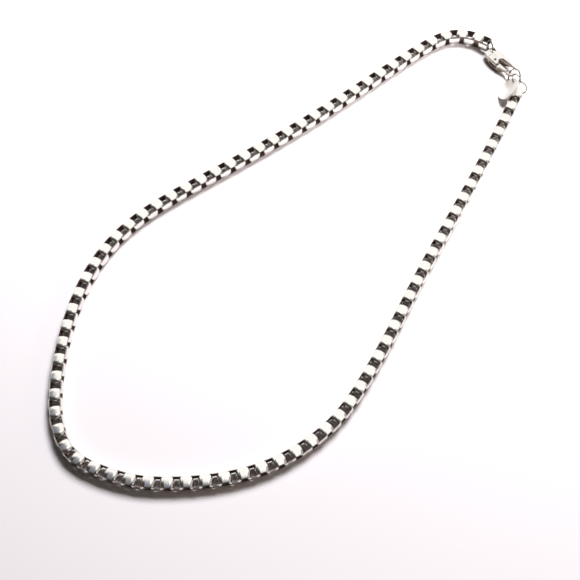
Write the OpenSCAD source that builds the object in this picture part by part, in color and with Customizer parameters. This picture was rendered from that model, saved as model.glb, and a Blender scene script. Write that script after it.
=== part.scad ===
/* [Chain] */
// Length of one box link along the chain, mm
link_l = 4; // [2.5:0.1:6]
// Width and height of one box link, mm
link_w = 4; // [2.5:0.1:6]
// Thickness of a link's wall, mm
link_t = 0.45; // [0.3:0.05:0.8]
// Width of a link's strip at the middle of a plate, mm
strip_mid = 3.2; // [2:0.1:4.5]
// Width of a link's strip at its end walls, mm
strip_end = 2; // [1:0.1:3.5]
// Outer radius of a link's corners, mm
link_r = 0.8; // [0.5:0.05:1.2]
// Free play between two neighbouring links, mm
link_play = 0.4; // [0.25:0.05:0.8]

/* [Rings] */
// Wire diameter of the jump rings, mm
wire_d = 0.5; // [0.4:0.05:0.9]
// Centreline radius of the clasp's ring, mm
ring_r = 2; // [1.7:0.05:2.6]
// Centreline radius of the end ring, mm
end_ring_r = 2.4; // [2:0.05:2.8]
// Centreline radius of the ring held in the hook, mm
hook_ring_r = 2.6; // [2.1:0.05:3]
// Centreline radius of the tag's ring, mm
tag_ring_r = 1.72; // [1.5:0.02:2]
// Wire diameter of the tag's ring, mm
tag_wire_d = 0.36; // [0.3:0.02:0.6]

/* [Clasp] */
// Half width of the clasp's body, mm
body_half = 2.7; // [2.2:0.05:3.5]
// Height of the clasp's body, mm
body_h = 3; // [2.4:0.1:4]
// Outer radius of the hook's nose, mm
nose_r = 2.05; // [1.8:0.05:2.8]
// Radius of the hook's hole, mm
hook_hole_r = 1.5; // [1:0.05:1.9]
// Height of the hook at its nose, mm
nose_h = 1; // [0.7:0.05:1.4]
// Radius of the eye's hole, mm
eye_r = 0.8; // [0.6:0.05:1.1]
// Thickness of the lever at its root, mm
lever_t = 1; // [0.7:0.05:1.4]
// Radius of the lever's pin, mm
pin_r = 0.35; // [0.25:0.05:0.5]
// Clearance of the lever in its slot, mm
lever_gap = 0.1; // [0.08:0.01:0.2]
// Clearance of the lever's bore on the pin, mm
bore_gap = 0.05; // [0.03:0.01:0.08]

/* [Tag] */
// Diameter of the tag, mm
tag_d = 8; // [5:0.1:12]
// Thickness of the tag, mm
tag_t = 0.55; // [0.4:0.05:1.2]
// Diameter of the hole near the tag's rim, mm
tag_hole_d = 1.5; // [1.2:0.05:2]

/* [Hidden] */
$fn = 48;

// Middle line of the chain on the surface, from the clasp round to the end ring
ROUTE = [[-1.3, 95.2], [-5, 94.5], [-8.5, 92.8], [-11.4, 90.3], [-13.5, 87], [-15, 83], [-16.7, 77],
    [-20.3, 61], [-23.6, 45.4], [-27.5, 29.5], [-32, 14], [-37, -1.8], [-41.9, -17.2], [-44.2, -27.8],
    [-44.7, -38.5], [-43, -49], [-39.3, -59.2], [-34.3, -68.7], [-28.2, -77.8], [-21.1, -86],
    [-16.9, -89.4], [-12.3, -92.2], [-7.4, -93.9], [-2, -93.6], [3.4, -91.9], [8.6, -89.8], [13.5, -87.2],
    [17.8, -84.2], [25.8, -77.1], [33, -69], [38.9, -60], [42.8, -49.8], [44.8, -38.7], [44.3, -28],
    [40.7, -9], [36.2, 8], [32.6, 24.4], [29.5, 40.5], [26.1, 56.3], [22.6, 71.5], [18.9, 85.4]];
SUB = 8;

last = len(ROUTE) - 1;
function ctrl(i) = i < 0 ? 2 * ROUTE[0] - ROUTE[-i]
    : i > last ? 2 * ROUTE[last] - ROUTE[2 * last - i] : ROUTE[i];
function smooth(i, u) = (pow(1 - u, 3) * ctrl(i - 1) + (3 * pow(u, 3) - 6 * u * u + 4) * ctrl(i)
    + (1 + 3 * u + 3 * u * u - 3 * pow(u, 3)) * ctrl(i + 1) + pow(u, 3) * ctrl(i + 2)) / 6;
samples = [for (i = [0 : last - 1], k = [0 : SUB - 1]) smooth(i, k / SUB), ROUTE[last]];
count = len(samples);
lengths = [for (i = 0, s = 0; i < count; i = i + 1,
    s = s + (i < count ? norm(samples[i] - samples[i - 1]) : 0)) s];
x_table = [for (i = [0 : count - 1]) [lengths[i], samples[i].x]];
y_table = [for (i = [0 : count - 1]) [lengths[i], samples[i].y]];
function route_at(s) = [lookup(s, x_table), lookup(s, y_table)];

route_len = lengths[count - 1];
pitch = link_l - 2 * link_t - link_play;
links = 2 * round((route_len / pitch + 1) / 2);
step = route_len / (links - 1);
function heading(i) = let (d = route_at((i + 0.5) * step) - route_at((i - 0.5) * step)) atan2(d.y, d.x);

// The box round the whole piece is centred on the origin
xs = [for (p = samples) p.x];
ys = [for (p = samples) p.y];
shift = [-(max(xs) + min(xs)) / 2, -(max(ys) + min(ys)) / 2];

strip_r = (pow(link_l / 2, 2) + pow((strip_mid - strip_end) / 2, 2)) / (strip_mid - strip_end);
strip_mid_half = strip_mid / 2;

wire_r = wire_d / 2;
first_dir = route_at(0) - route_at(step);
first_angle = atan2(first_dir.y, first_dir.x);
wall_at = link_l / 2 - link_t / 2;
first_wall = ROUTE[0] + wall_at * [cos(first_angle), sin(first_angle)];
last_angle = heading(links - 1);
last_wall = ROUTE[last] + wall_at * [cos(last_angle), sin(last_angle)];

clasp_ring_yaw = -30;
clasp_ring_z = ring_r + wire_r;
clasp_ring_off = 0.45;
clasp_ring_at = first_wall + clasp_ring_off * [cos(clasp_ring_yaw), sin(clasp_ring_yaw)];
eye_at = clasp_ring_at + ring_r * [cos(clasp_ring_yaw), sin(clasp_ring_yaw)];

clasp_turn = -8.84;
eye_y = 1;
clasp_at = eye_at - eye_y * [-sin(clasp_turn), cos(clasp_turn)];
nose_x = 9.49;
nose_z = [body_h / 2, body_h / 2 + nose_h];
taper_x = 5.6;
eye_wall = 0.6;
eye_z = [clasp_ring_z - 0.95, clasp_ring_z + 0.4];
body_mid = 3.6;
body_r = 12.5;
body_x0 = -1.2;
pivot = [3.3, -1.3];
lever_z = body_h / 2;
root_r = 0.95;
skin_r = 30;
side_r = 60;
slot_t = lever_t + 2 * lever_gap;
tail_end = 0.95;
cheek_end = 4.9;
finger_x = cheek_end + 0.25;
tip_x = nose_x - 0.34;
finger_t = 2;
pin_z = 0.35;

end_ring_at = [last_wall.x - 0.55, last_wall.y + 1.14, 2.34];
end_ring_lean = [144, 8];
hook_yaw = -31.3;
hook_tilt = 60;
nose_at = clasp_at + nose_x * [cos(clasp_turn), sin(clasp_turn)];
hook_seat = 0.24;
hook_far = [nose_at.x + hook_seat * cos(hook_yaw), nose_at.y + hook_seat * sin(hook_yaw),
    hook_ring_r * sin(hook_tilt) + wire_r];

// The tag hangs from the hook's ring and leans on its lower rim
hook_ring_at = hook_far + hook_ring_r * [cos(hook_yaw), sin(hook_yaw), 0];
tag_ring_turn = [24.8, 33.3];
tag_ring_dir = [-0.037, 0.97, -0.233];
tag_ring_at = hook_ring_at + [1.476, -1.316, 1.48];
tag_hole = tag_ring_at - tag_ring_r * tag_ring_dir;
tag_turn = 21.56;
tag_hole_angle = 57.8;
tag_hole_in = 1.2;
tag_hole_at = tag_d / 2 - tag_hole_in;
tag_rise = tag_hole_at * cos(tag_hole_angle) + tag_d / 2;
tag_lean = asin((tag_hole.z - 0.04) / norm([tag_rise, tag_t / 2])) - atan(tag_t / 2 / tag_rise);
tag_up = [cos(tag_lean) * cos(tag_turn), cos(tag_lean) * sin(tag_turn), sin(tag_lean)];
tag_side = [-sin(tag_turn), cos(tag_turn), 0];
tag_at = tag_hole - tag_hole_at * (cos(tag_hole_angle) * tag_up + sin(tag_hole_angle) * tag_side);

module rounded(l, w, r) {
    polygon([for (c = [[1, 1, 0], [-1, 1, 90], [-1, -1, 180], [1, -1, 270]], k = [0 : 3])
        [c[0] * (l / 2 - r) + r * cos(c[2] + 30 * k), c[1] * (w / 2 - r) + r * sin(c[2] + 30 * k)]]);
}

module lens() {
    intersection() {
        translate([0, strip_mid_half - strip_r]) circle(strip_r);
        translate([0, strip_r - strip_mid_half]) circle(strip_r);
    }
}

// One box link at the origin, its hole across the chain
module link() {
    intersection() {
        rotate([90, 0, 0]) linear_extrude(link_w, center = true) difference() {
            rounded(link_l, link_w, link_r);
            rounded(link_l - 2 * link_t, link_w - 2 * link_t, link_r - link_t);
        }
        linear_extrude(link_w + 1, center = true) lens();
    }
}

module links_from(a, b) {
    for (i = [a : b]) {
        p = route_at(i * step);
        translate([p.x, p.y, link_w / 2]) rotate([0, 0, heading(i)]) rotate([i % 2 == 0 ? 90 : 0, 0, 0]) link();
    }
}

module ring(r, w) {
    rotate_extrude() translate([r, 0]) circle(w);
}

module chain_left() {
    color([0.8, 0.8, 0.8]) translate(shift) links_from(0, floor(links / 2) - 1);
}

module chain_right() {
    color([0.8, 0.8, 0.8]) translate(shift) links_from(floor(links / 2), links - 1);
}

module clasp_ring() {
    color([0.85, 0.85, 0.85]) translate(shift) translate([clasp_ring_at.x, clasp_ring_at.y, clasp_ring_z])
        rotate([0, 0, clasp_ring_yaw]) rotate([90, 0, 0]) ring(ring_r, wire_r);
}

module clasp_place() {
    translate(shift) translate([clasp_at.x, clasp_at.y, 0]) rotate([0, 0, clasp_turn]) children();
}

// Rounded shape that softens the clasp's outer edges, thinner at the nose
module clasp_skin() {
    intersection() {
        translate([0, 0, body_h / 2]) rotate([0, 90, 0]) rotate_extrude() intersection() {
            translate([0, -3]) square([4, 18]);
            translate([body_half + 0.15 - skin_r, 4.2]) circle(skin_r, $fn = 360);
        }
        rotate([90, 0, 0]) linear_extrude(10, center = true) intersection() {
            translate([4.2, body_h - side_r]) circle(side_r, $fn = 360);
            translate([4.2, side_r]) circle(side_r, $fn = 360);
        }
    }
}

// Side shape that thins the clasp towards its hook
module clasp_side() {
    rotate([90, 0, 0]) linear_extrude(10, center = true)
        polygon([[-3, -1], [taper_x, -1], [taper_x, 0], [nose_x - 0.6, nose_z[0]], [nose_x + 4, nose_z[0]],
            [nose_x + 4, nose_z[1]], [nose_x - 0.6, nose_z[1]], [taper_x, body_h], [taper_x, body_h + 1],
            [-3, body_h + 1]]);
}

// Outline of the body from above: two large arcs, the round nose and the eye
module body_outline() {
    intersection() {
        translate([body_mid, body_half - body_r]) circle(body_r, $fn = 180);
        translate([body_mid, body_r - body_half]) circle(body_r, $fn = 180);
        translate([body_x0, -4]) square([nose_x - body_x0, 8]);
    }
    translate([nose_x, 0]) circle(nose_r);
    translate([0, eye_y]) circle(eye_r + eye_wall);
}

// Space inside the hook and the way into it from the lever's side
module hook_space() {
    translate([nose_x, 0]) circle(hook_hole_r);
    translate([5.2, -0.2]) circle(1);
    polygon([[5.2, 0.8], [nose_x, hook_hole_r], [nose_x, -hook_hole_r], [5.2, -1.2]]);
}

module mouth() {
    polygon([[cheek_end, -4], [cheek_end, -0.9], [tip_x, -0.9], [tip_x, -1.3],
        [tip_x - 0.51, -1.76], [tip_x - 0.66, -1.76], [tip_x - 0.66, -4]]);
}

module clasp_body() {
    color([0.85, 0.85, 0.85]) clasp_place() difference() {
        intersection() {
            translate([0, 0, -1]) linear_extrude(body_h + 2) body_outline();
            clasp_skin();
            clasp_side();
        }
        translate([0, 0, -1]) linear_extrude(body_h + 2) {
            hook_space();
            mouth();
            translate([0, eye_y]) circle(eye_r);
        }
        // The tail round the eye is thinner than the body
        translate([tail_end - 5, -4, -1]) cube([5, 8, 1 + eye_z[0]]);
        translate([tail_end - 5, -4, eye_z[1]]) cube([5, 8, 2]);
        // Slot of the lever between the two cheeks
        translate([2.1, -4, lever_z - slot_t / 2]) cube([4, 3.9, slot_t]);
        translate([pivot.x, pivot.y, lever_z - slot_t / 2]) cylinder(h = slot_t, r = root_r + 0.25);
        translate([pivot.x, pivot.y, pin_z]) cylinder(h = body_h, r = pin_r);
    }
}

module finger() {
    polygon([[finger_x, -0.95], [tip_x - 0.11, -1], [tip_x - 0.11, -1.25], [tip_x - 0.56, -1.65],
        [finger_x + 1.85, -body_half + 0.6], [finger_x, -body_half + 0.3]]);
    translate([finger_x + 0.5, -body_half + 0.4]) circle(0.5);
}

module clasp_lever() {
    color([0.8, 0.8, 0.8]) clasp_place() difference() {
        union() {
            translate([0, 0, lever_z - lever_t / 2]) linear_extrude(lever_t) {
                translate(pivot) circle(root_r);
                polygon([[pivot.x, pivot.y + root_r], [6, -0.97], [6, -2.27], [pivot.x, pivot.y - root_r]]);
            }
            intersection() {
                translate([0, 0, lever_z - finger_t / 2]) linear_extrude(finger_t) finger();
                clasp_side();
            }
        }
        translate([pivot.x, pivot.y, 0]) cylinder(h = body_h, r = pin_r + bore_gap);
    }
}

module clasp_pin() {
    color([0.8, 0.8, 0.8]) clasp_place() translate([pivot.x, pivot.y, pin_z]) cylinder(h = 2.2, r = pin_r);
}

module hook_ring() {
    color([0.85, 0.85, 0.85]) translate(shift) translate(hook_far)
        rotate([0, 0, hook_yaw]) translate([hook_ring_r, 0, 0]) rotate([hook_tilt, 0, 0])
        ring(hook_ring_r, wire_r);
}

module end_ring() {
    color([0.85, 0.85, 0.85]) translate(shift) translate(end_ring_at)
        rotate([0, 0, end_ring_lean[0]]) rotate([end_ring_lean[1], 0, 0]) ring(end_ring_r, wire_r);
}

module tag_ring() {
    color([0.85, 0.85, 0.85]) translate(shift) translate(tag_ring_at) rotate([0, tag_ring_turn[0], tag_ring_turn[1]])
        ring(tag_ring_r, tag_wire_d / 2);
}

module tag() {
    color([0.88, 0.88, 0.88]) translate(shift) translate(tag_at) rotate([0, -tag_lean, tag_turn]) difference() {
        cylinder(h = tag_t, d = tag_d, center = true);
        rotate([0, 0, tag_hole_angle]) translate([tag_hole_at, 0, 0])
            cylinder(h = 2, d = tag_hole_d, center = true);
    }
}

chain_left();
chain_right();
clasp_ring();
clasp_body();
clasp_lever();
clasp_pin();
hook_ring();
end_ring();
tag_ring();
tag();
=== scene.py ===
"""Box chain necklace of sterling silver, laid in a closed loop on a pale surface."""

import math
import random

import bmesh
import bpy
import numpy as np
from mathutils import Matrix, Vector


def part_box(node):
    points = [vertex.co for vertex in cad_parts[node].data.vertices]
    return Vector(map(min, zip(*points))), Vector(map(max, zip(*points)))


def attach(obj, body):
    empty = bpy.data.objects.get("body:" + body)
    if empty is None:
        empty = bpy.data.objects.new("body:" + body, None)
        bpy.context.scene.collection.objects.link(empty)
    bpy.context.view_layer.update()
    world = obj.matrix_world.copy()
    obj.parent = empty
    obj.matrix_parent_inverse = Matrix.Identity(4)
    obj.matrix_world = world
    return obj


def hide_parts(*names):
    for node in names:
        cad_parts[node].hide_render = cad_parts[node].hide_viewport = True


bl_info = {
    "name": "Box Chain Necklace",
    "version": (1, 0, 0),
    "blender": (4, 5, 0),
    "location": "View3D > Sidebar > Necklace",
    "description": "Makes the finished pieces of a silver box chain necklace on its frame",
    "category": "Object",
}

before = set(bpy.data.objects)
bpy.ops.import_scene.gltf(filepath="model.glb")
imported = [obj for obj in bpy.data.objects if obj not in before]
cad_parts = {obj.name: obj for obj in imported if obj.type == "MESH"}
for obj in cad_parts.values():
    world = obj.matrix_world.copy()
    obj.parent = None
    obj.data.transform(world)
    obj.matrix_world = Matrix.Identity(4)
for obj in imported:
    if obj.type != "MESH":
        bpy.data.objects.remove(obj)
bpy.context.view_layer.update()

MM = 0.001
NECKLACE = "necklace"
LEVER = "lever"
LINK_SEED = 41
# Names of the marks that the pieces carry for their materials
LINK_TONE = "link_tone"
# The dark mark: real patina in the links' recesses, painted shade on the clasp's steep flanks
PATINA_AND_SHADE = "patina_and_shade"
PLATE_UV = "plate_mm"
# Face angle in radians from which an edge counts as sharp
SHARP = 0.8
# Points of a CAD mesh this close together are one point
WELD = 1e-7


def linear(hex_colour):
    """An sRGB hex colour as linear red, green, blue and alpha."""
    values = [int(hex_colour[i:i + 2], 16) / 255 for i in (1, 3, 5)]
    return tuple(v / 12.92 if v <= 0.04045 else ((v + 0.055) / 1.055) ** 2.4 for v in values) + (1.0,)


# settings


class ChainSettings(bpy.types.PropertyGroup):
    """Sizes and colours of the box links"""

    link_size: bpy.props.FloatProperty(
        name="Link size", description="Width of one box link across the chain",
        default=3.98 * MM, unit="LENGTH", precision=5)
    link_length: bpy.props.FloatProperty(
        name="Link length", description="Length of one box link along the chain",
        default=4.3 * MM, unit="LENGTH", precision=5)
    strip_width: bpy.props.FloatProperty(
        name="Strip width", description="Width of a link's strip at the middle of a plate",
        default=3.18 * MM, unit="LENGTH", precision=5)
    strip_end: bpy.props.FloatProperty(
        name="Strip end", description="Width of a link's strip at its end walls",
        default=1.98 * MM, unit="LENGTH", precision=5)
    wall: bpy.props.FloatProperty(
        name="Wall", description="Thickness of a link's wall",
        default=0.44 * MM, unit="LENGTH", precision=5)
    corner: bpy.props.FloatProperty(
        name="Corner", description="Outer radius of a link's bent corners",
        default=0.95 * MM, unit="LENGTH", precision=5)
    edge: bpy.props.FloatProperty(
        name="Edge", description="Width of the worn edge round each plate",
        default=0.14 * MM, unit="LENGTH", precision=5)
    fullness: bpy.props.FloatProperty(
        name="Fullness", description="How far a plate keeps its full width before its ends draw in",
        default=5.0, min=2.0, max=12.0)
    crown: bpy.props.FloatProperty(
        name="Crown", description="How far the strip's outer face falls away towards its edges",
        default=0.17 * MM, unit="LENGTH", precision=5)
    silver: bpy.props.FloatVectorProperty(
        name="Silver", description="Colour of the polished outer faces",
        default=linear("#F4F1EC")[:3], subtype="COLOR", size=3, min=0.0, max=1.0)
    oxide: bpy.props.FloatVectorProperty(
        name="Oxide", description="Colour of the darkened recesses",
        default=linear("#64524A")[:3], subtype="COLOR", size=3, min=0.0, max=1.0)


class ClaspSettings(bpy.types.PropertyGroup):
    """Sizes and colours of the clasp, the rings and the tag"""

    grain: bpy.props.FloatProperty(
        name="Grain", description="Size of the mesh that rounds the cast clasp",
        default=0.1 * MM, unit="LENGTH", precision=5)
    softness: bpy.props.IntProperty(
        name="Softness", description="How often the cast clasp's surface is smoothed",
        default=16, min=0, max=40)
    rim: bpy.props.FloatProperty(
        name="Rim", description="Width of the rounding at the tag's rim and hole",
        default=0.16 * MM, unit="LENGTH", precision=5)
    silver: bpy.props.FloatVectorProperty(
        name="Silver", description="Colour of the clasp, the rings and the tag",
        default=linear("#F6F3EE")[:3], subtype="COLOR", size=3, min=0.0, max=1.0)
    # Painted shade colour, laid on the clasp's steep flanks
    flank_shade: bpy.props.FloatVectorProperty(
        name="Tarnish", description="Colour of the clasp's flanks and hollows, where no polish reaches",
        default=linear("#A2978B")[:3], subtype="COLOR", size=3, min=0.0, max=1.0)


class StageSettings(bpy.types.PropertyGroup):
    """Floor, light and sky"""

    floor: bpy.props.FloatVectorProperty(
        name="Floor", description="Colour of the pale surface",
        default=linear("#F7F5F9")[:3], subtype="COLOR", size=3, min=0.0, max=1.0)
    key: bpy.props.FloatProperty(
        name="Key light", description="Power of the soft box that casts the shadows",
        default=6.4, unit="POWER")
    key_size: bpy.props.FloatProperty(
        name="Key size", description="Width of the soft box", default=0.26, unit="LENGTH")
    fill: bpy.props.FloatProperty(
        name="Fill light", description="Power of the weak warm light that lifts the shadows",
        default=0.32, unit="POWER")
    upper: bpy.props.FloatProperty(
        name="Upper light", description="Power of the small soft box over the clasp's end",
        default=0.03, unit="POWER")
    back: bpy.props.FloatProperty(
        name="Back wall", description="Brightness of the white wall behind the necklace",
        default=1.25, min=0.0, max=50.0)
    sides: bpy.props.FloatProperty(
        name="Side walls", description="Brightness of the walls at the left and right",
        default=0.9, min=0.0, max=50.0)
    overhead: bpy.props.FloatProperty(
        name="Overhead", description="Brightness of the patch over the necklace",
        default=0.38, min=0.0, max=50.0)
    front: bpy.props.FloatProperty(
        name="Front", description="Brightness of the dark side in front",
        default=0.07, min=0.0, max=50.0)


# helpers


def welded(node):
    """A copy of a CAD node's mesh with its loose triangles joined."""
    bm = bmesh.new()
    bm.from_mesh(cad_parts[node].data)
    bmesh.ops.remove_doubles(bm, verts=bm.verts, dist=WELD)
    return bm


def sharp_edges(bm):
    """The edges of a closed mesh that a hand would feel."""
    return [e for e in bm.edges if len(e.link_faces) == 2 and e.calc_face_angle() > SHARP]


def bevel(bm, edges, width, segments, clamp_overlap=True):
    """Rounds these edges over this width."""
    bmesh.ops.bevel(bm, geom=edges, offset=width, offset_type="OFFSET", segments=segments,
                    profile=0.5, affect="EDGES", material=-1, clamp_overlap=clamp_overlap)


def in_scene(name, data):
    """A new object with this data, linked to the scene."""
    made = bpy.data.objects.new(name, data)
    bpy.context.scene.collection.objects.link(made)
    return made


def make_piece(name, bm, material, body, nodes, smooth_angle=None):
    """A finished piece from a bmesh: linked, shaded, riding on its body, in place of its CAD nodes."""
    mesh = bpy.data.meshes.new(name)
    bm.to_mesh(mesh)
    bm.free()
    mesh.materials.append(material)
    mesh.polygons.foreach_set("use_smooth", [True] * len(mesh.polygons))
    if smooth_angle is not None:
        mesh.set_sharp_from_angle(angle=smooth_angle)
    piece = in_scene(name, mesh)
    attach(piece, body)
    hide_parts(*nodes)


def shader(name):
    """A new node material, its tree and its surface shader, which already feeds the output."""
    material = bpy.data.materials.new(name)
    material.use_nodes = True
    tree = material.node_tree
    tree.nodes.clear()
    output = add(tree, "ShaderNodeOutputMaterial")
    surface = add(tree, "ShaderNodeBsdfPrincipled")
    tree.links.new(surface.outputs[0], output.inputs["Surface"])
    return material, tree, surface


def add(tree, kind, inputs=None, **settings):
    """Adds a node; inputs are constants or the sockets that feed them."""
    node = tree.nodes.new(kind)
    for key, value in settings.items():
        setattr(node, key, value)
    for key, value in (inputs or {}).items():
        if isinstance(value, bpy.types.NodeSocket):
            tree.links.new(value, node.inputs[key])
        else:
            node.inputs[key].default_value = value
    return node


def per_mm(size_mm):
    """Noise scale that gives features of about this size on coordinates in metres."""
    return 1.0 / (size_mm * MM)


def opaque(colour, strength=1.0):
    """A linear colour at this strength, with full alpha."""
    return tuple(c * strength for c in colour) + (1.0,)


# materials


# Sizes of the blotches and grains in the surfaces, in millimetres
PATINA_MM = 0.4
# Blotches at the edge of the painted flank shade
FLANK_SHADE_MM = 0.3
TOOTH_MM = 1.2
# How bright the satin strip's marks are beside its polish
SATIN_SHADE = 0.8
# Roughness that the hairline scratches add to a polish
SCRATCH_ROUGHNESS = 0.14


def satin_links(settings):
    """Sterling silver strip, tumbled to a satin polish and darkened inside with liver of sulphur.

    The outer plates are a soft, slightly brushed mirror. The brown-black patina stays dull in the
    recesses, where no polishing reaches.
    """
    material, tree, surface = shader("satin_sterling_silver_strip")
    patina_and_shade = add(tree, "ShaderNodeAttribute", attribute_name=PATINA_AND_SHADE).outputs["Fac"]
    tone = add(tree, "ShaderNodeAttribute", attribute_name=LINK_TONE).outputs["Fac"]
    plate = add(tree, "ShaderNodeUVMap", uv_map=PLATE_UV).outputs["UV"]
    place = add(tree, "ShaderNodeTexCoord").outputs["Object"]
    # The patina breaks up in blotches along its edge
    blotch = add(tree, "ShaderNodeTexNoise", {"Vector": place, "Scale": per_mm(PATINA_MM),
                                              "Detail": 4.0, "Roughness": 0.6}).outputs["Fac"]
    ragged = add(tree, "ShaderNodeMath", {0: blotch, 1: 0.4, 2: patina_and_shade},
                 operation="MULTIPLY_ADD").outputs[0]
    dark = add(tree, "ShaderNodeMapRange",
               {"Value": ragged, "From Min": 0.88, "From Max": 1.1}).outputs["Result"]
    # Brush marks run along the strip, about 1.5 mm long and 0.05 mm apart
    combed = add(tree, "ShaderNodeMapping", {"Vector": plate, "Scale": (0.7, 18.0, 1.0)}).outputs[0]
    brushed = add(tree, "ShaderNodeTexNoise",
                  {"Vector": combed, "Scale": 1.0, "Detail": 3.0, "Roughness": 0.55}).outputs["Fac"]
    silver = opaque(settings.silver)
    shade = opaque(settings.silver, SATIN_SHADE)
    oxide = opaque(settings.oxide)
    streaks = add(tree, "ShaderNodeMapRange", {"Value": brushed, "From Min": 0.35, "From Max": 0.65,
                                               "To Max": 0.55}).outputs["Result"]
    satin = add(tree, "ShaderNodeMix", {"Factor": streaks, "A": silver, "B": shade}, data_type="RGBA")
    # No two links are worn alike
    worn = add(tree, "ShaderNodeMapRange",
               {"Value": tone, "To Min": 0.0, "To Max": 0.35}).outputs["Result"]
    handled = add(tree, "ShaderNodeMix",
                  {"Factor": worn, "A": satin.outputs["Result"], "B": shade}, data_type="RGBA")
    colour = add(tree, "ShaderNodeMix",
                 {"Factor": dark, "A": handled.outputs["Result"], "B": oxide}, data_type="RGBA")
    gloss = add(tree, "ShaderNodeMapRange",
                {"Value": brushed, "From Min": 0.3, "From Max": 0.7, "To Min": 0.08, "To Max": 0.14})
    matt = add(tree, "ShaderNodeMix", {"Factor": dark, "A": gloss.outputs["Result"], "B": 0.7})
    bump = add(tree, "ShaderNodeBump",
               {"Height": brushed, "Strength": 0.25, "Distance": 0.02 * MM})
    # The sulphide film is a dull mineral, not bare metal
    bare = add(tree, "ShaderNodeMapRange", {"Value": dark, "To Min": 1.0, "To Max": 0.0})
    tree.links.new(bare.outputs["Result"], surface.inputs["Metallic"])
    tree.links.new(colour.outputs["Result"], surface.inputs["Base Color"])
    tree.links.new(matt.outputs["Result"], surface.inputs["Roughness"])
    tree.links.new(bump.outputs["Normal"], surface.inputs["Normal"])
    return material


def polished_silver(name, settings, softness, dent_mm, scratch_mm, darkening, bright=1.0):
    """Polished sterling silver: faint waves and dents, hairline scratches, and painted shade in the
    flank colour on marked faces.

    The softness is the roughness of its sheen, and the darkening is how far the dents dull its colour.
    """
    material, tree, surface = shader(name)
    place = add(tree, "ShaderNodeTexCoord").outputs["Object"]
    patina_and_shade = add(tree, "ShaderNodeAttribute", attribute_name=PATINA_AND_SHADE).outputs["Fac"]
    waves = add(tree, "ShaderNodeTexNoise",
                {"Vector": place, "Scale": per_mm(dent_mm), "Detail": 2.0}).outputs["Fac"]
    turned = add(tree, "ShaderNodeMapping",
                 {"Vector": place, "Rotation": (0.3, 0.2, 0.6), "Scale": (1.0, 14.0, 14.0)}).outputs[0]
    hairlines = add(tree, "ShaderNodeTexNoise",
                    {"Vector": turned, "Scale": per_mm(scratch_mm), "Detail": 2.0}).outputs["Fac"]
    lines = add(tree, "ShaderNodeMapRange",
                {"Value": hairlines, "From Min": 0.6, "From Max": 0.72}).outputs["Result"]
    silver = opaque(settings.silver, bright)
    shade = opaque(settings.silver, bright * darkening)
    blotches = add(tree, "ShaderNodeMapRange",
                   {"Value": waves, "From Min": 0.4, "From Max": 0.75, "To Max": 0.6}).outputs["Result"]
    handled = add(tree, "ShaderNodeMix", {"Factor": blotches, "A": silver, "B": shade}, data_type="RGBA")
    # The painted shade on the marked faces, in the flank colour, fades out in blotches
    blotch = add(tree, "ShaderNodeTexNoise",
                 {"Vector": place, "Scale": per_mm(FLANK_SHADE_MM), "Detail": 3.0}).outputs["Fac"]
    ragged = add(tree, "ShaderNodeMath", {0: blotch, 1: 0.5, 2: patina_and_shade},
                 operation="MULTIPLY_ADD").outputs[0]
    dark = add(tree, "ShaderNodeMapRange",
               {"Value": ragged, "From Min": 0.55, "From Max": 0.95}).outputs["Result"]
    colour = add(tree, "ShaderNodeMix",
                 {"Factor": dark, "A": handled.outputs["Result"], "B": opaque(settings.flank_shade)},
                 data_type="RGBA")
    gloss = add(tree, "ShaderNodeMapRange",
                {"Value": lines, "To Min": softness, "To Max": softness + SCRATCH_ROUGHNESS})
    bump = add(tree, "ShaderNodeBump", {"Height": waves, "Strength": 0.2, "Distance": 0.04 * MM})
    surface.inputs["Metallic"].default_value = 1.0
    tree.links.new(colour.outputs["Result"], surface.inputs["Base Color"])
    tree.links.new(gloss.outputs["Result"], surface.inputs["Roughness"])
    tree.links.new(bump.outputs["Normal"], surface.inputs["Normal"])
    return material


def matt_board(settings):
    """Coated white board, matt, with a faint tooth that only breaks up its sheen."""
    material, tree, surface = shader("matt_white_board")
    place = add(tree, "ShaderNodeTexCoord").outputs["Object"]
    tooth = add(tree, "ShaderNodeTexNoise",
                {"Vector": place, "Scale": per_mm(TOOTH_MM), "Detail": 3.0}).outputs["Fac"]
    gloss = add(tree, "ShaderNodeMapRange", {"Value": tooth, "To Min": 0.55, "To Max": 0.7})
    surface.inputs["Base Color"].default_value = opaque(settings.floor)
    surface.inputs["Specular IOR Level"].default_value = 0.2
    tree.links.new(gloss.outputs["Result"], surface.inputs["Roughness"])
    return material


# chain


# A CAD face counts as one of a link's upright sides below this upward part of its normal
UPRIGHT = 0.5
# A plate is cut here, so that its ends can draw in
PLATE_CUTS = (-0.65 * MM, 0.65 * MM)
# Faces that look this much one way close the bent blank, or are a link's end walls
FACES_AWAY = 0.9
END_WALL = 0.8
# Rim edges bend by more than this angle and lie further out than this share of the strip's end
RIM_ANGLE = 0.9
RIM_SHARE = 0.2
# Share of the wall's depth in which the polish turns to patina
PATINA_DEPTH = 0.8
# Patina begins this far inside a link's ends and grows over this length
END_PATINA = 0.08 * MM
PATINA_FADE = 0.2 * MM
LINK_SMOOTH = math.radians(36)


def islands(bm):
    """The separate solids of a welded mesh, as lists of faces."""
    left = set(bm.faces)
    found = []
    while left:
        start = left.pop()
        group, edge = [start], [start]
        while edge:
            face = edge.pop()
            for side in face.edges:
                for other in side.link_faces:
                    if other in left:
                        left.remove(other)
                        group.append(other)
                        edge.append(other)
        found.append(group)
    return found


def link_facts(faces):
    """Middle of a link and its turn about Z up to a quarter turn, read from its CAD faces."""
    area, middle, spin = 0.0, Vector(), 0j
    for face in faces:
        a = face.calc_area()
        area += a
        middle += a * face.calc_center_median()
        if abs(face.normal.z) < UPRIGHT:
            turn = math.atan2(face.normal.y, face.normal.x)
            spin += a * complex(math.cos(4 * turn), math.sin(4 * turn))
    return middle / area, math.atan2(spin.imag, spin.real) / 4


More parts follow.
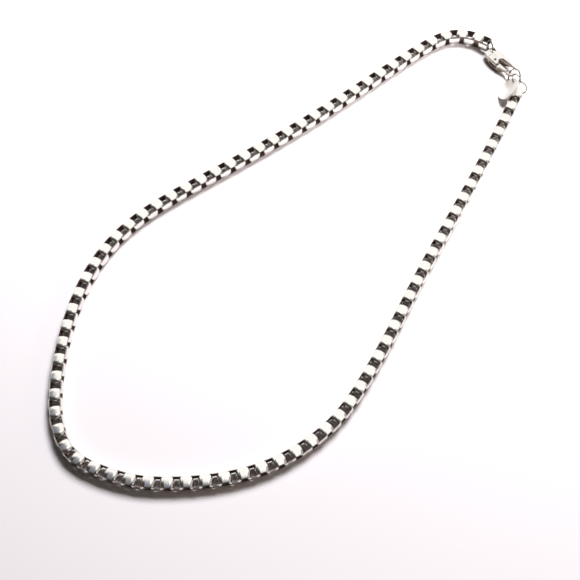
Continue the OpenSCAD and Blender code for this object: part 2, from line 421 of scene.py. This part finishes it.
def chain_order():
    """Every link of both chain nodes in order from the clasp: node, middle and heading."""
    facts = []
    for node in ("chain_left", "chain_right"):
        bm = welded(node)
        bm.normal_update()
        facts += [(node,) + link_facts(group) for group in islands(bm)]
        bm.free()
    low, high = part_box("clasp_ring")
    at = (low + high) / 2
    ordered = []
    while facts:
        nearest = min(facts, key=lambda f: (f[1] - at).length)
        facts.remove(nearest)
        ordered.append(nearest)
        at = nearest[1]
    last = len(ordered) - 1
    headed = []
    for i, (node, middle, quarter) in enumerate(ordered):
        run = ordered[min(i + 1, last)][1] - ordered[max(i - 1, 0)][1]
        rough = math.atan2(run.y, run.x)
        steps = round((rough - quarter) / (math.pi / 2))
        headed.append((node, middle, quarter + steps * math.pi / 2))
    return headed


def strip_half(x, s):
    """Half width of the strip at x from the middle of its plate: full, and drawn in at the ends."""
    reach = min(abs(x) / (s.link_length / 2), 1.0)
    return s.strip_end / 2 + (s.strip_width - s.strip_end) / 2 * (1 - reach ** s.fullness)


def depth_in_band(co, s):
    """How deep a point lies under the outer face of the bent strip."""
    qx = abs(co.x) - s.link_length / 2 + s.corner
    qz = abs(co.z) - s.link_size / 2 + s.corner
    return s.corner - math.hypot(max(qx, 0), max(qz, 0)) - min(max(qx, qz), 0)


def bent_link(s):
    """One link: a strip bent into a square band round Y, with crowned plates and worn edges."""
    bm = bmesh.new()
    bmesh.ops.create_cube(bm, size=1.0)
    bmesh.ops.scale(bm, vec=(s.link_length, s.strip_width, s.link_size), verts=bm.verts)
    corners = [e for e in bm.edges if abs(e.verts[0].co.y - e.verts[1].co.y) > s.strip_width / 2]
    bevel(bm, corners, s.corner, 3, clamp_overlap=False)
    ends = [f for f in bm.faces if abs(f.normal.y) > FACES_AWAY]
    bmesh.ops.delete(bm, geom=ends, context="FACES_ONLY")
    for x in PLATE_CUTS:
        bmesh.ops.bisect_plane(bm, geom=bm.verts[:] + bm.edges[:] + bm.faces[:],
                               plane_co=(x, 0, 0), plane_no=(1, 0, 0))
    bmesh.ops.recalc_face_normals(bm, faces=bm.faces)
    bmesh.ops.solidify(bm, geom=bm.faces[:], thickness=s.wall)
    bm.normal_update()
    for v in bm.verts:
        v.co.y *= strip_half(v.co.x, s) / (s.strip_width / 2)
    outer = [v for v in bm.verts if depth_in_band(v.co, s) < s.wall / 2]
    crest = set(outer)
    skin = [f for f in bm.faces if all(v in crest for v in f.verts)]
    parts = skin + list({e for f in skin for e in f.edges}) + outer
    bmesh.ops.bisect_plane(bm, geom=parts, plane_co=(0, 0, 0), plane_no=(0, 1, 0))
    long, high = s.link_length / 2 - s.corner, s.link_size / 2 - s.corner
    for v in outer:
        way = Vector((math.copysign(max(abs(v.co.x) - long, 0), v.co.x), 0,
                      math.copysign(max(abs(v.co.z) - high, 0), v.co.z)))
        v.co -= s.crown * way.normalized()
    rim = [e for e in bm.edges
           if all(depth_in_band(v.co, s) < s.wall / 2 for v in e.verts)
           and all(abs(v.co.y) > RIM_SHARE * s.strip_end for v in e.verts)
           and len(e.link_faces) == 2 and e.calc_face_angle() > RIM_ANGLE]
    bevel(bm, rim, s.edge, 1, clamp_overlap=False)
    bm.normal_update()
    return bm


def colour_link(bm, s):
    """Marks where the patina lies on a link and lays its plates out flat in millimetres."""
    patina_and_shade = bm.verts.layers.float.new(PATINA_AND_SHADE)
    flat = bm.loops.layers.uv.new(PLATE_UV)
    hidden_from = s.link_length / 2 - END_PATINA
    dulled = PATINA_DEPTH * (s.wall - s.crown)
    for v in bm.verts:
        inside = min(max((depth_in_band(v.co, s) - s.crown) / dulled, 0.0), 1.0)
        tucked = min(max((abs(v.co.x) - hidden_from) / PATINA_FADE, 0.0), 1.0)
        v[patina_and_shade] = max(inside, tucked)
    for face in bm.faces:
        wall = abs(face.normal.x) > END_WALL
        for loop in face.loops:
            co = loop.vert.co
            loop[flat].uv = ((co.z if wall else co.x) / MM, co.y / MM)


class NECKLACE_OT_links(bpy.types.Operator):
    """Makes the box links of both halves of the chain"""

    bl_idname = "necklace.links"
    bl_label = "Box links"

    def execute(self, context):
        s = context.scene.necklace_chain
        material = satin_links(s)
        template = bent_link(s)
        colour_link(template, s)
        pattern = bpy.data.meshes.new("link_pattern")
        template.to_mesh(pattern)
        template.free()
        chance = random.Random(LINK_SEED)
        halves = {"chain_left": bmesh.new(), "chain_right": bmesh.new()}
        for i, (node, middle, heading) in enumerate(chain_order()):
            bm = halves[node]
            tone = bm.verts.layers.float.get(LINK_TONE) or bm.verts.layers.float.new(LINK_TONE)
            before = len(bm.verts)
            bm.from_mesh(pattern)
            bm.verts.ensure_lookup_table()
            added = bm.verts[before:]
            quarter = Matrix.Rotation(math.pi / 2 if i % 2 == 0 else 0.0, 4, "X")
            place = Matrix.Translation(middle) @ Matrix.Rotation(heading, 4, "Z") @ quarter
            bmesh.ops.transform(bm, matrix=place, verts=added)
            wear = chance.random()
            for v in added:
                v[tone] = wear
        bpy.data.meshes.remove(pattern)
        for node, bm in halves.items():
            make_piece(node + "_links", bm, material, NECKLACE, [node],
                       smooth_angle=LINK_SMOOTH)
        return {"FINISHED"}


# clasp


# The painted flank shade starts where the upward part of a normal falls below this, and is full lower by
# the fade
FLANK_START = 0.8
FLANK_FADE = 0.6
# A remesh with fewer faces has lost the part
FEWEST_FACES = 500
PIN_ROUNDING = 0.08 * MM
TURNED_SMOOTH = math.radians(40)


def paint_flank_shade(bm):
    """Marks the steep faces of a cast part, which get a painted shade in the flank colour."""
    patina_and_shade = bm.verts.layers.float.new(PATINA_AND_SHADE)
    bm.normal_update()
    for v in bm.verts:
        v[patina_and_shade] = min(max((FLANK_START - v.normal.z) / FLANK_FADE, 0.0), 1.0)


def cast_piece(name, node, material, body, s):
    """A clasp part with a casting's soft edges: its CAD shape, remeshed finely and smoothed."""
    bm = welded(node)
    raw = bpy.data.meshes.new(name + "_raw")
    bm.to_mesh(raw)
    bm.free()
    blank = in_scene(name + "_blank", raw)
    remesh = blank.modifiers.new("grain", "REMESH")
    remesh.mode = "VOXEL"
    remesh.voxel_size = s.grain
    smooth = blank.modifiers.new("softness", "SMOOTH")
    smooth.factor = 0.5
    smooth.iterations = s.softness
    shaped = bpy.data.meshes.new_from_object(
        blank.evaluated_get(bpy.context.evaluated_depsgraph_get()))
    bpy.data.objects.remove(blank)
    bpy.data.meshes.remove(raw)
    if len(shaped.polygons) < FEWEST_FACES:
        raise RuntimeError("the remesh of " + node + " came out empty")
    cast = bmesh.new()
    cast.from_mesh(shaped)
    bpy.data.meshes.remove(shaped)
    # The steep flanks are marked for a painted shade
    paint_flank_shade(cast)
    make_piece(name, cast, material, body, [node])


class NECKLACE_OT_clasp(bpy.types.Operator):
    """Makes the lobster clasp: cast body, sprung lever and the pin's peened ends"""

    bl_idname = "necklace.clasp"
    bl_label = "Clasp"

    def execute(self, context):
        s = context.scene.necklace_clasp
        # A tumbled casting has a soft sheen and broad dents; its steep flanks get a painted shade, and
        # its colour is dimmed to 0.85 of the silver as a mild painted shade
        cast = polished_silver("tumbled_sterling_casting", s, softness=0.2, dent_mm=1.6,
                               scratch_mm=1.2, darkening=0.86, bright=0.85)
        cast_piece("clasp_body_cast", "clasp_body", cast, NECKLACE, s)
        cast_piece("clasp_lever_cast", "clasp_lever", cast, LEVER, s)
        pin = welded("clasp_pin")
        bevel(pin, sharp_edges(pin), PIN_ROUNDING, 2)
        make_piece("clasp_pin_peened", pin, cast, NECKLACE, ["clasp_pin"],
                   smooth_angle=TURNED_SMOOTH)
        return {"FINISHED"}


# rings and tag


# The drawn wire stays a little inside the faceted CAD ring
WIRE_SHARE = 0.995
WIRE_SIDES = 14
RING_STEPS = 64
# The groove where a ring's ends meet: its half width and how far the wire narrows in it
SEAM_HALF = 0.05 * MM
SEAM_SHARE = 0.84
# Faces near the seam, which alone are cut for it
SEAM_REACH = 0.5 * MM
SEAM_SIDE = 0.7
ON_SEAM = 0.01 * MM
# A ring that lies flatter than this has no highest point
FLAT_RING = 1e-3
# Where each ring's seam lies, in radians round its axis from its highest point
SEAM_TURNS = {"clasp_ring": 2.3, "hook_ring": 1.1, "end_ring": 2.0, "tag_ring": 0.6}
WIRE_SMOOTH = math.radians(70)


def round_facts(bm):
    """Middle, axis, outer radius and half thickness of a flat round shape, read from its mesh."""
    area, middle = 0.0, Vector()
    for face in bm.faces:
        a = face.calc_area()
        area += a
        middle += a * face.calc_center_median()
    middle /= area
    points = np.array([v.co - middle for v in bm.verts])
    axes = np.linalg.eigh(points.T @ points)[1]
    axis = Vector(axes[:, 0]).normalized()
    if axis.z < 0:
        axis.negate()
    across = points @ np.array(axis)
    rings = np.linalg.norm(points - np.outer(across, np.array(axis)), axis=1)
    return middle, axis, rings.max(), np.abs(across).max()


def wire_ring(node, seam_turn):
    """A jump ring of round wire, spun at the origin and moved to its place, with its seam's groove."""
    cad = welded(node)
    middle, axis, reach, wire = round_facts(cad)
    cad.free()
    wire *= WIRE_SHARE
    radius = reach - wire
    bm = bmesh.new()
    bmesh.ops.create_circle(bm, segments=WIRE_SIDES, radius=wire, cap_ends=False)
    bmesh.ops.rotate(bm, cent=(0, 0, 0), matrix=Matrix.Rotation(math.pi / 2, 3, "X"), verts=bm.verts)
    bmesh.ops.translate(bm, vec=(radius, 0, 0), verts=bm.verts)
    bmesh.ops.spin(bm, geom=bm.verts[:] + bm.edges[:], cent=(0, 0, 0), axis=(0, 0, 1),
                   angle=2 * math.pi, steps=RING_STEPS, use_merge=True, use_duplicate=False)
    for y in (-SEAM_HALF, SEAM_HALF):
        near = [f for f in bm.faces if f.calc_center_median().x > SEAM_SIDE * radius
                and abs(f.calc_center_median().y) < SEAM_REACH]
        parts = {e for f in near for e in f.edges} | {v for f in near for v in f.verts}
        bmesh.ops.bisect_plane(bm, geom=near + list(parts), plane_co=(0, y, 0), plane_no=(0, 1, 0))
    for v in bm.verts:
        if abs(v.co.y) < ON_SEAM and v.co.x > 0:
            v.co.x = radius + (v.co.x - radius) * SEAM_SHARE
            v.co.z *= SEAM_SHARE
    bmesh.ops.recalc_face_normals(bm, faces=bm.faces)
    upright = Vector((0, 0, 1)) - axis * axis.z
    side = upright.normalized() if upright.length > FLAT_RING else Vector((1, 0, 0))
    turned = Matrix.Rotation(seam_turn, 3, axis) @ side
    third = axis.cross(turned)
    place = Matrix((turned, third, axis)).transposed().to_4x4()
    bmesh.ops.transform(bm, matrix=Matrix.Translation(middle) @ place, verts=bm.verts)
    return bm


class NECKLACE_OT_rings(bpy.types.Operator):
    """Makes the jump rings of the clasp, the hook and the chain's end, and the tag's ring"""

    bl_idname = "necklace.rings"
    bl_label = "Jump rings"

    def execute(self, context):
        s = context.scene.necklace_clasp
        # Drawn wire is a clear mirror, and on thin rings it shows mostly the dark of the room; its
        # colour is also painted down to about a third of the silver's, a painted shade
        wire = polished_silver("drawn_sterling_wire", s, softness=0.14, dent_mm=0.9,
                               scratch_mm=0.8, darkening=0.4, bright=0.36)
        for node, turn in SEAM_TURNS.items():
            make_piece(node + "_wire", wire_ring(node, turn), wire, NECKLACE, [node],
                       smooth_angle=WIRE_SMOOTH)
        return {"FINISHED"}


class NECKLACE_OT_tag(bpy.types.Operator):
    """Makes the plain round tag with its rounded rim and hole"""

    bl_idname = "necklace.tag"
    bl_label = "Round tag"

    def execute(self, context):
        s = context.scene.necklace_clasp
        # Satin sheet spreads the light, so that the whole disc reads as pale
        sheet = polished_silver("satin_sterling_sheet", s, softness=0.4, dent_mm=2.4,
                                scratch_mm=1.5, darkening=0.95)
        bm = welded("tag")
        bevel(bm, sharp_edges(bm), s.rim, 3)
        make_piece("tag_disc", bm, sheet, NECKLACE, ["tag"], smooth_angle=TURNED_SMOOTH)
        return {"FINISHED"}


# stage


# The camera's place in millimetres, and its directions
CAMERA_AT = (93.147, -105.674, 294.5)
CAMERA_RIGHT = (0.7254, 0.6884, 0.0)
CAMERA_LOOK = (-0.2690, 0.2834, -0.9205)
CAMERA_ROLL = math.asin(-0.0494)
FOCAL_PX = 1050.0
FRAME_PX = 580.0
SENSOR_MM = 36.0
CLIP = (0.01, 20.0)


def photo_camera():
    """The camera at the photograph's place and angle, for a square frame."""
    data = bpy.data.cameras.new("photo_camera")
    data.sensor_width = SENSOR_MM
    data.sensor_fit = "HORIZONTAL"
    data.lens = FOCAL_PX / FRAME_PX * SENSOR_MM
    data.clip_start, data.clip_end = CLIP
    data.dof.use_dof = False
    look = Vector(CAMERA_LOOK).normalized()
    flat_right = Vector(CAMERA_RIGHT).normalized()
    flat_up = flat_right.cross(look)
    right = math.cos(CAMERA_ROLL) * flat_right + math.sin(CAMERA_ROLL) * flat_up
    up = right.cross(look)
    camera = in_scene("photo_camera", data)
    turn = Matrix((right, up, -look)).transposed().to_4x4()
    camera.matrix_world = Matrix.Translation(Vector(CAMERA_AT) * MM) @ turn
    bpy.context.scene.camera = camera


# Places and sizes of the soft boxes, in metres
KEY_FROM = (-0.10, 0.36, 0.54)
FILL_FROM = (0.22, 0.20, 0.26)
FILL_SIZE = 0.5
UPPER_FROM = (0.13, 0.14, 0.11)
UPPER_AIM = (-0.01, 0.05, 0.0)
UPPER_SIZE = 0.08
UPPER_SPREAD = math.radians(50)
# The notch in the sky's back wall, and how bright that wall is at the right
NOTCH_X = -0.30
NOTCH_HALF = 0.1
NOTCH_SLOPE = 0.9
BACK_RIGHT = 0.4
FLOOR_REACH = 3.0
# The floor lies just under the links, so that no face of theirs falls into it
FLOOR_DROP = 0.02 * MM


def soft_box(name, place, size, power, tint, aim=(0.0, 0.0, 0.0), spread=math.pi):
    """A soft box whose grid narrows the beam to its spread.

    It is left out of the reflections, which the sky gives.
    """
    data = bpy.data.lights.new(name, "AREA")
    data.shape = "SQUARE"
    data.size = size
    data.energy = power
    data.color = linear(tint)[:3]
    data.spread = spread
    light = in_scene(name, data)
    light.location = place
    light.rotation_euler = (Vector(aim) - Vector(place)).to_track_quat("-Z", "Y").to_euler()
    light.visible_glossy = False
    light.visible_camera = False


def studio_sky(s):
    """The room in the silver's reflections: white walls behind and at both sides, dark in front.

    The floor gets its light from the soft boxes alone.
    """
    world = bpy.data.worlds.new("studio")
    world.use_nodes = True
    tree = world.node_tree
    tree.nodes.clear()
    direction = add(tree, "ShaderNodeTexCoord").outputs["Generated"]
    part = add(tree, "ShaderNodeSeparateXYZ", {0: direction}).outputs
    sideways = add(tree, "ShaderNodeMath", {0: part["X"]}, operation="ABSOLUTE").outputs[0]
    # The back wall begins further back in a notch at the left
    aslant = add(tree, "ShaderNodeMath", {0: part["X"], 1: -NOTCH_X}, operation="ADD").outputs[0]
    apart = add(tree, "ShaderNodeMath", {0: aslant}, operation="ABSOLUTE").outputs[0]
    step = add(tree, "ShaderNodeMath", {0: apart, 1: NOTCH_HALF}, operation="MINIMUM").outputs[0]
    depth = add(tree, "ShaderNodeMath", {0: step, 1: NOTCH_SLOPE, 2: part["Y"]},
                operation="MULTIPLY_ADD").outputs[0]
    # What each part of the room is measured along, where it begins and where it is full
    edges = {
        "over": (part["Y"], -0.32, 0.02),
        "high": (part["Z"], 0.45, 0.7),
        "beside": (sideways, 0.5, 0.64),
        "past_front": (part["Y"], -0.3, -0.08),
        "right": (part["X"], 0.1, 0.35),
        "behind": (depth, 0.095, 0.15),
    }
    share = {}
    for name, (along, begins, full) in edges.items():
        fade = add(tree, "ShaderNodeMapRange", {"Value": along, "From Min": begins, "From Max": full},
                   interpolation_type="SMOOTHSTEP")
        share[name] = fade.outputs["Result"]
    share["aside"] = add(tree, "ShaderNodeMath", {0: share["beside"], 1: share["past_front"]},
                         operation="MULTIPLY").outputs[0]
    paint = {
        "dim": opaque(linear("#F3E4D6")[:3], s.front),
        "patch": opaque(linear("#DCE4F4")[:3], s.overhead),
        "side": opaque(linear("#FFFBF6")[:3], s.sides),
        "back": opaque(linear("#FFFDFB")[:3], s.back),
        "back_right": opaque(linear("#FFF8F0")[:3], s.back * BACK_RIGHT),
    }
    # Each layer, what it takes its share from, and the paint under and over its edge
    layers = (
        ("ceiling", "over", "dim", "patch"),
        ("room", "high", "dim", "ceiling"),
        ("walls", "aside", "room", "side"),
        ("far_wall", "right", "back", "back_right"),
        ("sky", "behind", "walls", "far_wall"),
    )
    for layer, where, under, over in layers:
        mixed = add(tree, "ShaderNodeMix", {"Factor": share[where], "A": paint[under], "B": paint[over]},
                    data_type="RGBA")
        paint[layer] = mixed.outputs["Result"]
    light = add(tree, "ShaderNodeBackground", {"Color": paint["sky"], "Strength": 1.0})
    output = add(tree, "ShaderNodeOutputWorld")
    tree.links.new(light.outputs[0], output.inputs["Surface"])
    bpy.context.scene.world = world
    world.cycles_visibility.diffuse = False


class NECKLACE_OT_stage(bpy.types.Operator):
    """Sets the camera, the pale floor and the soft studio light"""

    bl_idname = "necklace.stage"
    bl_label = "Stage"

    def execute(self, context):
        s = context.scene.necklace_stage
        photo_camera()
        bm = bmesh.new()
        bmesh.ops.create_grid(bm, x_segments=1, y_segments=1, size=FLOOR_REACH)
        bmesh.ops.translate(bm, vec=(0, 0, -FLOOR_DROP), verts=bm.verts)
        mesh = bpy.data.meshes.new("floor")
        bm.to_mesh(mesh)
        bm.free()
        mesh.materials.append(matt_board(s))
        floor = in_scene("floor", mesh)
        studio_sky(s)
        soft_box("key", KEY_FROM, s.key_size, s.key, "#FFFCFD")
        soft_box("fill", FILL_FROM, FILL_SIZE, s.fill, "#FFE2C8")
        soft_box("upper", UPPER_FROM, UPPER_SIZE, s.upper, "#FFFAF6", UPPER_AIM, UPPER_SPREAD)
        context.scene.view_settings.view_transform = "Standard"
        return {"FINISHED"}


# panel and run


class NECKLACE_PT_pieces(bpy.types.Panel):
    """Lists the necklace's pieces and their settings"""

    bl_label = "Box chain necklace"
    bl_idname = "NECKLACE_PT_pieces"
    bl_space_type = "VIEW_3D"
    bl_region_type = "UI"
    bl_category = "Necklace"

    def draw(self, context):
        layout = self.layout
        for group in GROUPS:
            settings = getattr(context.scene, group)
            box = layout.box()
            for name in settings.__annotations__:
                box.prop(settings, name)
        for operator in OPERATORS:
            layout.operator(operator.bl_idname)


GROUPS = {"necklace_chain": ChainSettings, "necklace_clasp": ClaspSettings,
          "necklace_stage": StageSettings}
OPERATORS = (NECKLACE_OT_stage, NECKLACE_OT_links, NECKLACE_OT_clasp, NECKLACE_OT_rings,
             NECKLACE_OT_tag)
CLASSES = tuple(GROUPS.values()) + OPERATORS + (NECKLACE_PT_pieces,)


def register():
    for cls in CLASSES:
        bpy.utils.register_class(cls)
    for name, cls in GROUPS.items():
        setattr(bpy.types.Scene, name, bpy.props.PointerProperty(type=cls))


def unregister():
    for name in GROUPS:
        delattr(bpy.types.Scene, name)
    for cls in reversed(CLASSES):
        bpy.utils.unregister_class(cls)


def main():
    register()
    bpy.ops.necklace.stage()
    bpy.ops.necklace.links()
    bpy.ops.necklace.clasp()
    bpy.ops.necklace.rings()
    bpy.ops.necklace.tag()
    bpy.context.view_layer.update()


if __name__ == "__main__":
    main()
